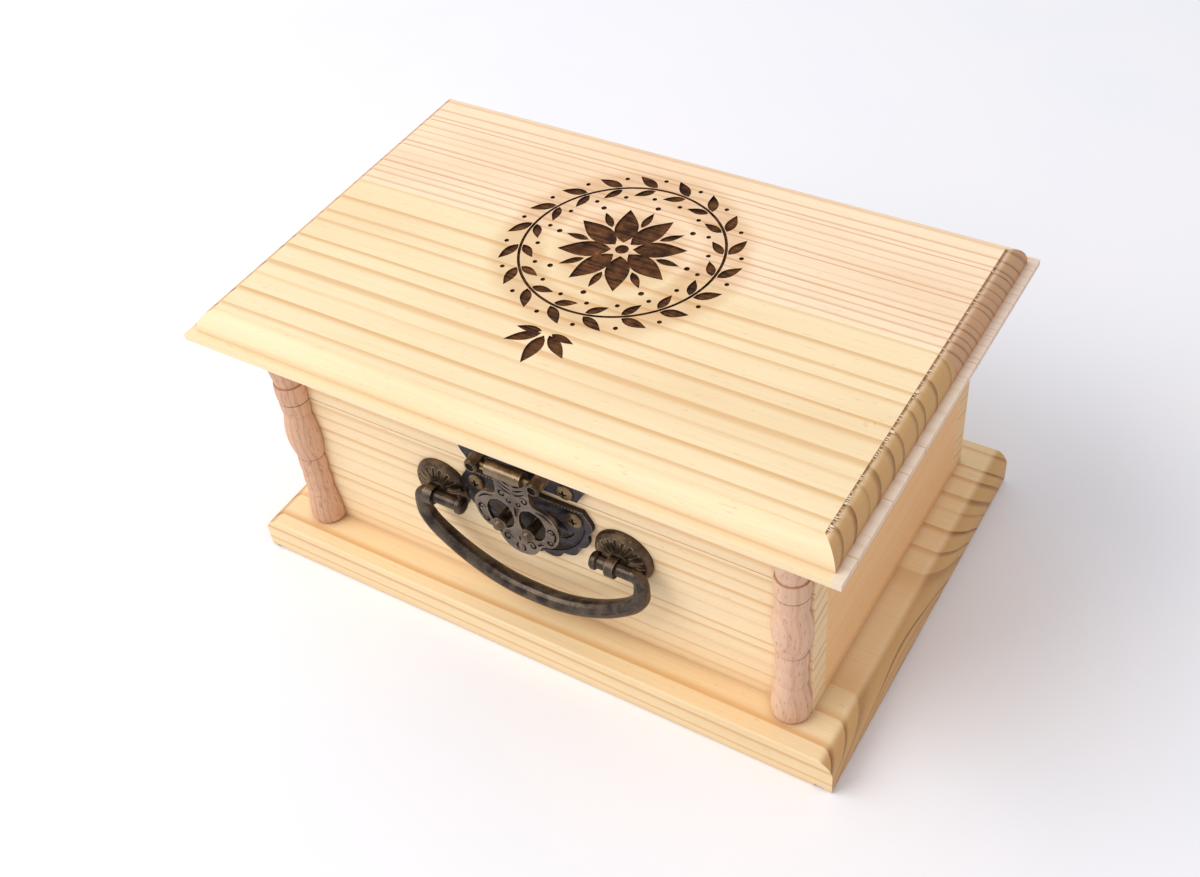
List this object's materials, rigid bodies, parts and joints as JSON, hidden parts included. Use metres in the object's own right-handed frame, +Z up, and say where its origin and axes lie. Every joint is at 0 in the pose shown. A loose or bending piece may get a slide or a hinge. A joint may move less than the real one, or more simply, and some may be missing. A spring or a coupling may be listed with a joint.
{
  "type": "keepsake_box",
  "caption": "Pine keepsake box with a deep hinged lid, turned corner columns, an antique bronze hasp latch and a hanging bail handle on its front.",
  "frame": {"origin": "centre of the underside of the base board", "axes": "X left to right, Y from the front to the back, Z up"},
  "size_m": [0.213, 0.1414, 0.1053],
  "materials": {
    "pine": "bare planed pine",
    "beech": "bare turned beech",
    "bronze": "antique bronze, worn bright on its edges",
    "brass": "dulled brass"
  },
  "bodies": {
    "box": {"base_board": "pine", "front_panel": "pine", "back_panel": "pine", "left_panel": "pine", "right_panel": "pine", "left_column": "beech", "right_column": "beech", "catch_plate": "bronze", "catch_screws": "brass", "left_rosette": "bronze", "right_rosette": "bronze", "left_handle_post": "bronze", "right_handle_post": "bronze", "handle_screws": "brass", "left_hinge_box_leaf": "bronze", "right_hinge_box_leaf": "bronze", "left_hinge_pin": "bronze", "right_hinge_pin": "bronze", "hinge_box_screws": "brass"},
    "lid": {"lid_board": "pine", "lid_front_rim": "pine", "lid_back_rim": "pine", "lid_left_rim": "pine", "lid_right_rim": "pine", "left_column_cap": "beech", "right_column_cap": "beech", "hasp_plate": "bronze", "hasp_pin": "bronze", "hasp_screws": "brass", "left_hinge_lid_leaf": "bronze", "right_hinge_lid_leaf": "bronze", "hinge_lid_screws": "brass"},
    "hasp": {"hasp_leaf": "bronze"},
    "bail": {"bail": "bronze", "bail_knobs": "bronze"}
  },
  "joints": [
    {"name": "lid_hinge", "type": "hinge", "parent": "box", "child": "lid", "pos_m": [0, 0.0611, 0.06715], "axis": [-1, 0, 0], "range_deg": [0, 170]},
    {"name": "hasp_swing", "type": "hinge", "parent": "lid", "child": "hasp", "pos_m": [0, -0.0628, 0.0783], "axis": [-1, 0, 0], "range_deg": [0, 140]},
    {"name": "bail_swing", "type": "hinge", "parent": "box", "child": "bail", "pos_m": [0.0028, -0.0614, 0.0534], "axis": [-1, 0, 0], "range_deg": [-5, 150]}
  ]
}
